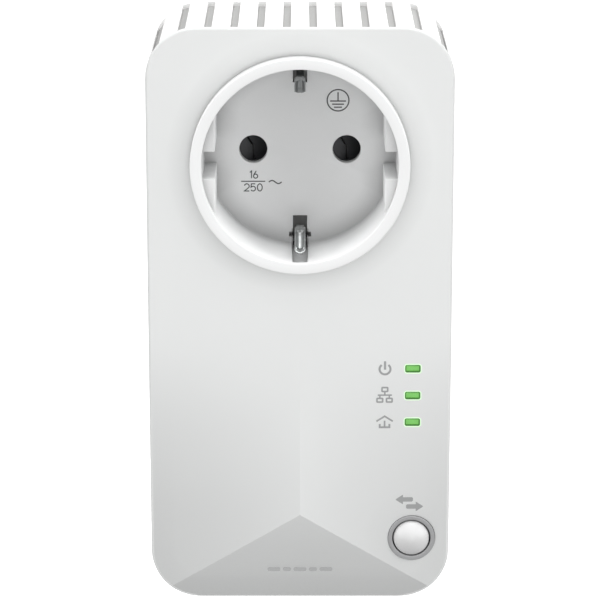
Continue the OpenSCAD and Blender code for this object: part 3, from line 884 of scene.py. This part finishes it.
def socket_piece():
    """The recessed socket; its ring is crisp at the inner edge and round at the outer one."""
    rim, crisp, foot, shoulder = 0.24, 0.16, 0.14, 21.4
    profile = [(0, FLOOR_Y)]
    profile += arc((RECESS_R - foot, FLOOR_Y - foot), foot, 90, 0, 5)
    profile += [(RECESS_R, RIM_Y + crisp)]
    profile += arc((RECESS_R + crisp, RIM_Y + crisp), crisp, 180, 270, 4)[1:]
    profile += arc((RING_R - rim, RIM_Y + rim), rim, 270, 360, 7)
    profile += [(RING_R, FRONT_Y - 0.2), (RING_R - 0.08, FRONT_Y - 0.12),
                (shoulder, FRONT_Y - 0.12), (shoulder, FLOOR_Y + 2), (0, FLOOR_Y + 2)]
    insert = lathe("socket_shell", profile, n=192)
    combine(insert, [rib_piece(sx, sz) for sx in (1, -1) for sz in (1, -1)], "UNION")
    cuts = [pin_hole_cutter(1), pin_hole_cutter(-1)] + earth_slot(1) + earth_slot(-1)
    combine(insert, cuts, sharp=32)
    return dress(insert, "socket_white", replaces=["socket_insert"])


socket_piece()


# ---- earth fingers ----
FINGER_LINE = [(-32.2, 18.6), (-34.2, 17.4), (-36.2, 16.0), (-39.5, 15.2), (-43.5, 14.5),
               (-46.6, 14.1), (-48.4, 14.7), (-50.0, 16.4), (-51.5, 18.0)]


def smooth_line(points, steps):
    """A Catmull-Rom curve through 2D points."""
    ends = [points[0]] + points + [points[-1]]
    line = []
    for i in range(len(points) - 1):
        p0, p1, p2, p3 = (Vector(p) for p in ends[i:i + 4])
        for k in range(steps):
            t = k / steps
            line.append(0.5 * (2 * p1 + (p2 - p0) * t + (2 * p0 - 5 * p1 + 4 * p2 - p3) * t * t
                               + (3 * p1 - p0 - 3 * p2 + p3) * t ** 3))
    line.append(Vector(points[-1]))
    return line


def finger_piece(side, up):
    """A sprung strip with a pressed, elongated bead along its contact face."""
    line = smooth_line(FINGER_LINE, 10)
    n, across, half_thick = len(line), 20, 0.17
    lengths = [0.0]
    for a, b in zip(line, line[1:]):
        lengths.append(lengths[-1] + (b - a).length)
    total = lengths[-1]

    def half_width(s):
        """Narrow neck, full head, rounded tip."""
        neck = 0.78 + 0.32 * min(1.0, max(0.0, (s - total + 8.6) / 0.8))
        tip = max(0.0, (s - total + 1.3) / 1.3)
        return neck * math.sqrt(max(0.02, 1 - tip * tip))

    def pressed(s, u):
        """Lift of the spoon's raised rim and hollow, at a place along and across the strip."""
        along = max(0.0, abs(total - s - 3.0) - 1.55) / 0.95
        r = math.hypot(u / 0.84, along)
        rim = math.exp(-((r - 0.86) / 0.17) ** 2)
        hollow = max(0.0, 1 - (r / 0.8) ** 2)
        return 0.28 * rim - 0.34 * hollow

    rows = {1: [], -1: []}
    for i, (p, s) in enumerate(zip(line, lengths)):
        tangent = (line[min(n - 1, i + 1)] - line[max(0, i - 1)]).normalized()
        normal = Vector((tangent.y, -tangent.x))
        if normal.y > 0:
            normal.negate()
        for face, made in rows.items():
            row = []
            for j in range(across + 1):
                u = -1 + 2 * j / across
                q = p + normal * (pressed(s, u) + face * half_thick)
                row.append((u * half_width(s), q.x, up * q.y))
            made.append(row)
    root = [(y, up * z) for y, z in circle(FINGER_LINE[0], 0.62, 20)]
    parts = [slab("blade", rows), rail("eye", root, (-0.75, 0.75))]
    finger = shade(join("finger_" + side, parts), 40)
    return dress(finger, "clip_steel", "earth_finger_" + side, ["earth_clip_" + side])


finger_piece("top", 1)
finger_piece("bottom", -1)


# ---- shutter and its spring ----
def shutter_piece():
    """A slider with a ramp at each pin hole, split by a fine parting groove."""
    low, high = box_mm("shutter_slider")
    front, back = low.y, high.y
    bar_z, rail_z, end = 2.9, 4.2, 9.1       # the ramps' half height, the sides' and a hole's end

    def ramp(start, pin):
        """The slider's profile from a straight end to the ramp over a pin hole."""
        toe = pin + 3.3
        return [(start, front), (pin - 2.9, front), (toe, back - 1), (toe, back), (start, back)]

    last = [(PIN_X + end, front), (high.x, front), (high.x, back), (PIN_X + end, back)]
    leaves = [pillar("leaf", profile, (-bar_z, bar_z))
              for profile in (ramp(low.x, -PIN_X), ramp(end - PIN_X, PIN_X), last)]
    sides = [block("side", (low.x, high.x), (front, back), zs)
             for zs in ((-rail_z, 0.05 - bar_z), (bar_z - 0.05, rail_z))]
    tab = block("tab", (5.5, 7.0), (front + 0.4, back - 0.4), (low.z, -4.0))
    slider = leaves[0]
    combine(slider, leaves[1:] + sides + [tab], "UNION")
    grooves = []
    for x in (-PIN_X, PIN_X):
        for start, stop in (((-1.6, 2.6), (0.0, 0.0)), ((0.0, 0.1), (0.0, -2.9))):
            a, b = Vector((x + start[0], start[1])), Vector((x + stop[0], stop[1]))
            half = (b - a).normalized().orthogonal() * 0.2
            loop = [tuple(p) for p in (a + half, a - half, b - half, b + half)]
            grooves.append(prism("groove", loop, (front - 1, back - 0.4)))
    combine(slider, grooves)
    slider.name = "shutter_leaf"
    return dress(slider, "shutter_grey", "shutter", ["shutter_slider"])


shutter_piece()


def spring_piece():
    """A closed-end compression spring, wound along X."""
    low, high = box_mm("shutter_spring")
    wire = 0.22
    r = (high.y - low.y) / 2 - wire
    cy, cz = (low.y + high.y) / 2, (low.z + high.z) / 2
    turns, per_turn, sides = 9, 20, 8
    count = turns * per_turn
    rings = []
    for i in range(count + 1):
        share = i / count
        along = share - 0.055 * math.sin(2 * math.pi * share)
        a = 2 * math.pi * turns * share
        out = Vector((0, math.cos(a), math.sin(a)))
        x = low.x + wire + (high.x - low.x - 2 * wire) * along
        centre = Vector((x, cy, cz)) + r * out
        rings.append([centre + wire * (out * math.cos(t) + Vector((math.sin(t), 0, 0)))
                      for t in (2 * math.pi * k / sides for k in range(sides))])
    spring = solid("return_spring", rings, 60)
    dress(spring, "spring_steel", replaces=["shutter_spring"])
    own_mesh(spring)
    return spring


spring_piece()


# ---- status windows ----
def window_piece(name, z):
    """A light pipe with a softly crowned face, a little proud of its hole."""
    face = front_at(LED_X, z)
    back = box_mm("led_window_" + name)[1].y
    crown = [(0.0, back), (0.0, face + 0.12), (0.05, face + 0.02), (0.14, face - 0.05),
             (0.32, face - 0.085), (0.55, face - 0.098)]
    rings = [at_depth(window_loop(z, max(0.36 - inset, 0.08), inset), y) for inset, y in crown]
    pipe = solid("window_" + name, rings, 50)
    return dress(pipe, "led_green", replaces=["led_window_" + name])


def glow_piece(name, z):
    """A painted glow: a pale, faintly glowing film on the edge of the hole, where the light pipe's
    light falls.
    """
    lift, root = 0.012, 0.1
    inner, outer = (window_loop(z, 0.36 + g, -g) for g in (0.03, 0.24))
    rings = [[(x, front_at(x, at_z) + d, at_z) for x, at_z in loop]
             for loop, d in ((inner, root), (inner, -lift), (outer, -lift), (outer, root))]
    return dress(hoop("window_edge_" + name, rings, 50), "led_green", look="painted_glow")


def rim_piece(name, z):
    """The light pipe's edge with painted shade: a darker green band, wider below and to the right.
    """
    lift, root = 0.115, 0.3
    outer = window_loop(z, 0.3, 0.05)
    inner = window_loop(z, 0.12, left=0.18, right=0.3, low=0.4, top=0.15)
    face = front_at(LED_X, z)
    rings = [at_depth(outer, face + root), at_depth(outer, face - lift * 0.3),
             at_depth(inner, face - lift), at_depth(inner, face + root)]
    return dress(hoop("window_rim_" + name, rings, 50), "led_green", look="painted_shade_green")


for led_name, led_z in zip(("power", "network", "home"), LED_ZS):
    window_piece(led_name, led_z)
    glow_piece(led_name, led_z)
    rim_piece(led_name, led_z)


# ---- pairing button ----
BEZEL_FRONT = front_at(BUTTON_X, BUTTON_Z) - 0.35


def bezel_piece():
    """The ring around the button, with a flange behind the cover."""
    hole, soft, thick = BUTTON_R + 0.3, 0.16, 0.6
    toe = FRONT_Y + COVER_SKIN
    profile = [(hole, toe + thick), (hole, BEZEL_FRONT + soft)]
    profile += arc((hole + soft, BEZEL_FRONT + soft), soft, 180, 270, 4)[1:]
    profile += arc((BEZEL_R - soft, BEZEL_FRONT + soft), soft, 270, 360, 4)
    profile += [(BEZEL_R, toe), (BEZEL_R + 0.8, toe), (BEZEL_R + 0.8, toe + thick)]
    ring = lathe("button_ring", profile, (BUTTON_X, BUTTON_Z), 96, closed=True)
    return dress(ring, "bezel_grey", replaces=["button_bezel"])


def button_piece():
    """The domed button, its collar and its stem; the dome is shaded rounder than it is."""
    low, high = box_mm("pair_button")
    crest, rise, collar, stem = low.y, 0.7, BUTTON_R + 0.75, 1.5
    dome_r = (BUTTON_R ** 2 + rise ** 2) / (2 * rise)
    half = math.asin(BUTTON_R / dome_r)
    profile = [(0.0, crest)]
    for i in range(1, 14):
        a = half * i / 13.4
        profile.append((dome_r * math.sin(a), crest + dome_r * (1 - math.cos(a))))
    edge_y = profile[-1][1]
    toe = FRONT_Y + COVER_SKIN + 0.65
    profile += [(BUTTON_R - 0.02, edge_y + 0.1), (BUTTON_R, edge_y + 0.24), (BUTTON_R, toe),
                (collar, toe), (collar, toe + 0.65), (stem, toe + 0.65), (stem, high.y),
                (0.0, high.y)]
    cap = lathe("button_cap", profile, (BUTTON_X, BUTTON_Z), 96)
    gain = DOME_GAIN / dome_r
    dome = [f for f in cap.data.polygons if f.normal.y < -0.9 and f.center.y / MM < edge_y]
    bend_normals(cap, dome, lambda _, p: ((p.x - BUTTON_X) * gain, -1, (p.z - BUTTON_Z) * gain))
    return dress(cap, "button_white", "pairing_button", ["pair_button"])


bezel_piece()
button_piece()


# ---- printed marks ----
def stroke(points, width, closed=False):
    """The two edges of a line of a given width, with mitred joints and square ends."""
    pts = [Vector(p) for p in points]
    n = len(pts)
    left, right = [], []
    for i, p in enumerate(pts):
        before = p - pts[i - 1] if i or closed else pts[1] - p
        after = pts[(i + 1) % n] - p if i < n - 1 or closed else before
        n1, n2 = (Vector((-d.y, d.x)).normalized() for d in (before, after))
        miter = (n1 + n2).normalized()
        reach = width / 2 / max(0.4, miter.dot(n1))
        left.append(p + miter * reach)
        right.append(p - miter * reach)
    return left, right


def film_part(item, surface, name):
    """One stroke of a mark as a closed body: (kind, points, width), where a fill has no width."""
    kind, points, *width = item
    levels = (-0.018, 0.06)          # above and below the surface
    shell = Shell()

    def laid(points, level):
        return shell.ring([(x, surface(x, z) + level, z) for x, z in points])

    if kind == "fill":
        over, under = (laid(points, level) for level in levels)
        shell.bridge(over, under)
        shell.cap(over)
        shell.cap(under)
    else:
        closed = kind == "loop"
        left, right = stroke(points, *width, closed)
        rows = [laid(left, levels[0])] + [laid(right, level) for level in levels]
        rows.append(laid(left, levels[1]))
        shell.strip(rows + rows[:1], closed)
        for k in () if closed else (0, -1):
            shell.cap([r[k] for r in rows])
    return mesh_object(name + "_part", shell)


def mark(name, strokes, surface, look, slot="cover_white"):
    """Lines and filled outlines printed on a surface as a thin raised film."""
    film = shade(join(name, [film_part(item, surface, name) for item in strokes]))
    return dress(film, slot, look=look)


def placed(at, strokes):
    """Strokes drawn about (0, 0), moved to a place."""
    return [(kind, [(at[0] + x, at[1] + z) for x, z in points], *width)
            for kind, points, *width in strokes]


def small_box(cx, cz, w, h):
    """A small rectangle with softened corners."""
    return rounded((cx - w / 2, cx + w / 2), (cz - h / 2, cz + h / 2), 0.12, 3)


ICON_X = 17.2
ICON_DROP = 0.08
ICONS = [
    ("icon_power", [("line", arc((0, 0), 1.1, 128, 412, 40), 0.42),
                    ("line", [(0, 1.66), (0, -0.1)], 0.44)]),
    ("icon_network", [("loop", small_box(0, 1.38, 1.14, 0.84), 0.33),
                      ("line", [(0, 0.9), (0, 0.1)], 0.33),
                      ("line", [(-1.42, 0.18), (1.42, 0.18)], 0.3),
                      ("line", [(-1.0, 0.18), (-1.0, -0.4)], 0.28),
                      ("loop", small_box(-1.0, -0.9, 1.14, 0.78), 0.33),
                      ("line", [(0.92, 0.18), (0.92, -0.4)], 0.28),
                      ("loop", small_box(0.92, -0.9, 1.14, 0.78), 0.33)]),
    ("icon_home", [("line", [(-1.66, 0.3), (0, 1.38), (1.66, 0.3)], 0.34),
                   ("line", [(-0.98, -0.28), (-0.98, -0.98), (0.98, -0.98), (0.98, -0.28)], 0.38),
                   ("line", [(0, 0.42), (0, -0.9)], 0.34)]),
]
for (icon_name, icon), led_z in zip(ICONS, LED_ZS):
    mark(icon_name, placed((ICON_X, led_z - ICON_DROP), icon), front_at, "ink_grey")


def arrow(tip, tail, z):
    """A solid arrow with a wide head, pointing along X."""
    s = 1 if tip > tail else -1
    neck = tip - s * 1.5
    upper = [(tip - s * 0.25, 0.22), (neck, 1.04), (neck, 0.47), (tail, 0.47),
             (tail - s * 0.2, 0.27)]
    lower = [(x, -dz) for x, dz in reversed(upper)]
    return ("fill", [(x, z + dz) for x, dz in [(tip, 0)] + upper + lower])


mark("icon_pairing", [arrow(19.6, 22.95, -70.4), arrow(25.25, 21.95, -71.95)], front_at,
     "ink_grey")

# a plain row of dashes where a maker would print a name
dashes = []
dash_x = -6.65
for width in (2.6, 1.6, 2.6, 1.6, 2.6):
    dashes.append(("fill", rounded((dash_x, dash_x + width), (-86.1, -85.3), 0.3, 4)))
    dash_x += width + 0.575
mark("dash_row", dashes, front_at, "ink_pale")


def floor_at(x, z):
    """Depth of the recess floor, flat all over."""
    return FLOOR_Y


earth_mark = [("loop", circle((0, 0), 2.2, 48), 0.25), ("line", [(0, 1.65), (0, -0.1)], 0.25)]
for half, dz in ((1.6, -0.16), (1.2, -0.81), (0.8, -1.43)):
    earth_mark.append(("line", [(-half, dz), (half, dz)], 0.24))
mark("earth_sign", placed((7.7, 10.1), earth_mark), floor_at, "ink_dark", "socket_white")


def numeral(kind, x, z, w=0.92):
    """A plain line numeral centred at a point."""
    side, top, pen = w / 2, 0.75, 0.2
    if kind == "0":
        turns = [2 * math.pi * k / 24 for k in range(24)]
        strokes = [("loop", [(side * math.cos(t), top * math.sin(t)) for t in turns], pen)]
    elif kind == "1":
        strokes = [("line", [(-0.22, top - 0.3), (0.1, top), (0.1, -top)], pen)]
    elif kind == "2":
        bowl = arc((0, top - side), side, 165, -35, 10)
        strokes = [("line", bowl + [(-side, -top), (side, -top)], pen)]
    elif kind == "5":
        bowl = arc((-0.02, side - top), side, 125, -150, 12)
        start = [(side - 0.08, top), (0.12 - side, top), (0.05 - side, 0.05)]
        strokes = [("line", start + bowl[1:], pen)]
    else:
        low = side - top
        strokes = [("loop", circle((0, low), side, 20), pen),
                   ("line", [(0.12, top), (0.08 - side, low + 0.3), (-side, low)], pen)]
    return placed((x, z), strokes)


rating = numeral("1", -9.98, -5.3) + numeral("6", -9.05, -5.3, 0.85)
for kind, x in (("2", -10.85), ("5", -9.55), ("0", -8.2)):
    rating += numeral(kind, x, -7.98, 0.98)
rating.append(("line", [(-12.0, -6.7), (-7.1, -6.7)], 0.2))
wave = [(-6.35 + 2.6 * k / 20, -6.85 + 0.32 * math.sin(2 * math.pi * k / 20)) for k in range(21)]
rating.append(("line", wave, 0.24))
mark("rating_sign", rating, floor_at, "ink_dark", "socket_white")


# ---- plug ----
def plug_piece():
    """The round plug body: flats, bores for the pins, and rooms for the side earth strips."""
    soft, flange, hub = 0.8, 20.4, 15.2
    profile = [(0, -4), (hub, -4), (hub, INSIDE_Y - 2), (flange, INSIDE_Y - 2),
               (flange, INSIDE_Y), (PLUG_R, INSIDE_Y)]
    profile += arc((PLUG_R - soft, -soft), soft, 0, 90, 6)
    plug = lathe("plug_shell", profile + [(0, 0)], n=160)

    def bore(r, wide, flare, at):
        """A through hole with a flared mouth."""
        return lathe("bore", [(0, -6), (r, -6), (r, -flare), (wide, 0.0), (wide, 1), (0, 1)],
                     at, 48)

    cuts = []
    for sx in (1, -1):
        for sz in (1, -1):
            flat = block("flat", sorted((sx * 16.7, sx * 21)), (REAR_Y, 2),
                         sorted((sz * 2.3, sz * 20)))
            cuts.append(bevelled(flat, 0.15))
        cuts.append(bore(2.65, 2.85, 0.2, (sx * PIN_X, 0)))
    cuts.append(bore(3.35, 3.8, 0.45, (0, EARTH_PIN_Z)))
    for sz in (1, -1):
        room = block("room", (-2.4, 2.4), (REAR_Y + 1.2, -1.4), sorted((sz * 17.3, sz * 20)))
        cuts.append(bevelled(room, 0.3))
        cuts.append(block("slit", (-1.6, 1.6), (-6, -4.8), sorted((sz * 13.2, sz * 20))))
    combine(plug, cuts, sharp=32)
    return dress(plug, "plug_white", replaces=["plug_body"])


plug_piece()


def pin_piece(name, side):
    """A round pin with a domed tip and a thicker root inside the plug."""
    low, high = box_mm("plug_pin_" + name)
    r, root, tip = 2.4, 2.6, 2.3
    dome = r - 0.12
    profile = [(0, low.y), (root, low.y), (root, 0.0), (r, 0.0), (r, high.y - tip - 0.3),
               (dome, high.y - tip)]
    profile += [(dome * (1 - c), high.y - tip * (1 - s)) for s, c in quarter(8)]
    pin = lathe("pin_" + name, profile, (side * PIN_X, 0), 64, 25)
    return dress(pin, "pin_nickel", replaces=["plug_pin_" + name])


pin_piece("left", -1)
pin_piece("right", 1)


def plug_strip(name, up):
    """A bowed earth strip set in the plug's edge, with its tail inside."""
    low, high = box_mm("plug_earth_contact_" + name)
    top = max(abs(low.z), abs(high.z))
    start, length, n = REAR_Y + 1.5, -3.1 - REAR_Y, 24
    thick, crown, inner, half_tail = 0.36, 0.06, 13.4, (-1.5, 1.5)
    rows = {1: [], -1: []}
    for t in (i / n for i in range(n + 1)):
        bow = top - 0.75 + 0.33 * math.sin(math.pi * t) ** 0.7
        half = 2.2 - 0.9 * max(0.0, 1 - min(t, 1 - t) * length / 0.9) ** 2
        for face, made in rows.items():
            row = []
            for u in (-1 + j / 4 for j in range(9)):
                lift = thick + crown * (1 - u * u) if face > 0 else 0.0
                row.append((u * half, start + length * t, up * (bow + lift)))
            made.append(row)
    post = block("post", half_tail, (-5.8, -5.0), sorted((up * inner, up * (top - 0.7))))
    tail = block("tail", half_tail, (low.y, -5.0), sorted((up * inner, up * (inner + 0.8))))
    parts = [slab("strip", rows), bevelled(post, 0.12), bevelled(tail, 0.12)]
    return dress(shade(join("plug_strip_" + name, parts)), "clip_steel",
                 replaces=["plug_earth_contact_" + name])


plug_strip("top", 1)
plug_strip("bottom", -1)


# ---- network port ----
def port_piece():
    """The port's metal shell, open at the bottom, with the stepped hole for a latched plug."""
    low, high = box_mm("ethernet_jack")
    body = bevelled(block("jack_shell", *zip(low, high)), 0.35, 3)
    half = [(5.95, -34.6), (5.95, -42.3), (3.1, -42.3), (3.1, -43.7), (2.0, -43.7), (2.0, -45.0)]
    loop = half + [(-x, y) for x, y in reversed(half)]
    combine(body, [pillar("cavity", loop, (low.z - 1, high.z - 4))])
    return dress(body, "jack_steel", replaces=["ethernet_jack"])


port_piece()


# ---- CAD pieces that keep their shape ----
for node_name, node in frame["nodes"].items():
    if not node.hide_render:
        node.data.materials.clear()
        node.data.materials.append(MATERIALS[SLOT_OF[node_name]])
        shade(node, 28)


# ---- stage, light and camera ----


def make_floor(half=20000.0, z=-500.0):
    """A pale floor below the adapter, which hangs in the air by its plug."""
    shell = Shell()
    shell.cap(shell.ring([(-half, -half, z), (half, -half, z), (half, half, z), (-half, half, z)]))
    floor = mesh_object("stage_floor", shell)
    material, tree, shader, _ = nodes_of("stage_white")
    feed(tree, shader, {"Base Color": (1, 1, 1, 1), "Roughness": 0.9,
                        "Emission Color": (1, 1, 1, 1), "Emission Strength": 1.0})
    floor.data.materials.append(material)
    floor.visible_diffuse = False
    floor.visible_glossy = False
    floor.visible_shadow = False


def make_world(strength):
    """Soft light all round, in front of a white backdrop."""
    world = bpy.data.worlds.new("studio")
    scene.world = world
    world.use_nodes = True
    tree = world.node_tree
    seen = added(tree, "LightPath").outputs["Is Camera Ray"]
    feed(tree, tree.nodes["Background"], {"Color": (1, 1, 1, 1), "Strength": span(
        tree, seen, strength, 1.0, 0.0, 1.0)})


def area_light(name, at, size, watts, only=None, shadows=True, target=(0.0, -0.05, -0.03)):
    """A rectangular lamp aimed at the adapter, kept to some objects by light linking if asked."""
    data = bpy.data.lights.new(name, "AREA")
    data.shape = "RECTANGLE"
    data.size, data.size_y = size
    data.energy = watts
    data.use_shadow = shadows
    obj = bpy.data.objects.new(name, data)
    scene.collection.objects.link(obj)
    obj.location = at
    obj.rotation_euler = (Vector(target) - Vector(at)).to_track_quat("-Z", "Y").to_euler()
    if only:
        group = bpy.data.collections.new(name)
        for lit in only:
            group.objects.link(lit)
        obj.light_linking.receiver_collection = group


def make_camera():
    """The photo's view: a long lens, 15 degrees above the adapter's middle."""
    target = Vector((0, -0.0505, -0.02787))
    rise, distance = math.radians(15.02), 0.6014
    data = bpy.data.cameras.new("camera")
    data.lens = 179.5
    data.sensor_width = 36
    data.clip_end = 100
    camera = bpy.data.objects.new("camera", data)
    scene.collection.objects.link(camera)
    camera.location = target + distance * Vector((0, -math.cos(rise), math.sin(rise)))
    camera.rotation_euler = (target - camera.location).to_track_quat("-Z", "Y").to_euler()
    scene.camera = camera


on_cover = [o for o in scene.objects if o.name == "cover_shell"]
off_cover = [o for o in scene.objects if o.type == "MESH" and o not in on_cover]
make_floor()
make_world(0.56)
BESIDE, BELOW, ABOVE = (1.0, -0.5, 0.15), (0.0, -1.3, -0.25), (0.0, -0.25, 0.9)
TALL, WIDE, LONG = (0.5, 0.8), (0.8, 0.5), (0.9, 0.5)
area_light("side_right", BESIDE, TALL, 1.5)
area_light("side_rest", BESIDE, TALL, 4.2, off_cover)
area_light("side_rest", (-BESIDE[0], *BESIDE[1:]), TALL, 4.2, off_cover)
area_light("low_cover", BELOW, WIDE, 3.5, on_cover)
area_light("low_rest", BELOW, WIDE, 0.9, off_cover)
area_light("overhead_cover", ABOVE, LONG, 8.5, on_cover, shadows=False)
area_light("overhead_rest", ABOVE, LONG, 8.0, off_cover)
area_light("behind", (0.5, 1.3, 0.5), (0.9, 0.9), 6.0, target=(0.0, 0.0, -0.03))
make_camera()
scene.view_settings.view_transform = "Standard"
scene.view_settings.look = "None"
